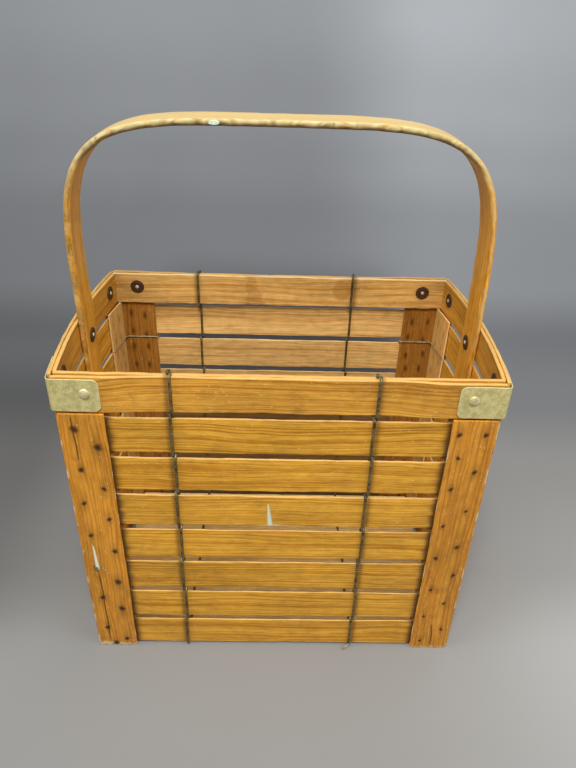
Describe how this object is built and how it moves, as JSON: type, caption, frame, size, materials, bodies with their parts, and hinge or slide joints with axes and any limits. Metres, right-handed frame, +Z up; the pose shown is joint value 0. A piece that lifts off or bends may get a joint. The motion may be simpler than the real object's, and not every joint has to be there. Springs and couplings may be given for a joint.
{
  "type": "bread delivery basket",
  "caption": "Slatted wooden delivery basket with a double-banded rim, folded metal corner brackets and a tall bent handle riveted inside the end walls.",
  "frame": {"origin": "on the ground under the middle of the basket", "axes": "+X along the basket to its right end, +Y to the back, +Z up to the handle; the front looks towards -Y"},
  "size_m": [0.424, 0.2546, 0.5475],
  "materials": {
    "golden_slat": "varnished honey ash, satin, worn",
    "inner_slat": "thinly varnished ash, satin",
    "brown_post": "varnished ash aged orange brown",
    "rim_wood": "varnished bent ash, pale worn edges",
    "handle_wood": "varnished bent ash, worn smooth",
    "bottom_wood": "bare ash, matt",
    "dull_zinc": "dull galvanised sheet with bright worn edges",
    "rivet_steel": "tinned steel, dull",
    "wire_steel": "browned steel wire"
  },
  "bodies": {
    "root": {"front_slat_1": "golden_slat", "left_slat_1": "golden_slat", "right_slat_1": "golden_slat", "back_slat_1": "inner_slat", "front_slat_2": "golden_slat", "left_slat_2": "golden_slat", "right_slat_2": "golden_slat", "back_slat_2": "inner_slat", "front_slat_3": "golden_slat", "left_slat_3": "golden_slat", "right_slat_3": "golden_slat", "back_slat_3": "inner_slat", "front_slat_4": "golden_slat", "left_slat_4": "golden_slat", "right_slat_4": "golden_slat", "back_slat_4": "inner_slat", "front_slat_5": "golden_slat", "left_slat_5": "golden_slat", "right_slat_5": "golden_slat", "back_slat_5": "inner_slat", "front_slat_6": "golden_slat", "left_slat_6": "golden_slat", "right_slat_6": "golden_slat", "back_slat_6": "inner_slat", "front_slat_7": "golden_slat", "left_slat_7": "golden_slat", "right_slat_7": "golden_slat", "back_slat_7": "inner_slat", "front_post_left": "brown_post", "left_post_front": "brown_post", "inner_corner_front_left": "inner_slat", "bracket_front_left": "dull_zinc", "front_post_right": "brown_post", "right_post_front": "brown_post", "inner_corner_front_right": "inner_slat", "bracket_front_right": "dull_zinc", "back_post_left": "brown_post", "left_post_back": "brown_post", "inner_corner_back_left": "inner_slat", "bracket_back_left": "dull_zinc", "back_post_right": "brown_post", "right_post_back": "brown_post", "inner_corner_back_right": "inner_slat", "bracket_back_right": "dull_zinc", "rim_outer_front": "rim_wood", "rim_inner_front": "rim_wood", "rim_outer_back": "rim_wood", "rim_inner_back": "rim_wood", "rim_outer_left": "rim_wood", "rim_inner_left": "rim_wood", "rim_outer_right": "rim_wood", "rim_inner_right": "rim_wood", "handle": "handle_wood", "bottom_frame": "bottom_wood", "leg_rivet_left": "rivet_steel", "binding_wire_left": "wire_steel", "corner_tie_left": "wire_steel", "leg_rivet_right": "rivet_steel", "binding_wire_right": "wire_steel", "corner_tie_right": "wire_steel"}
  },
  "joints": []
}
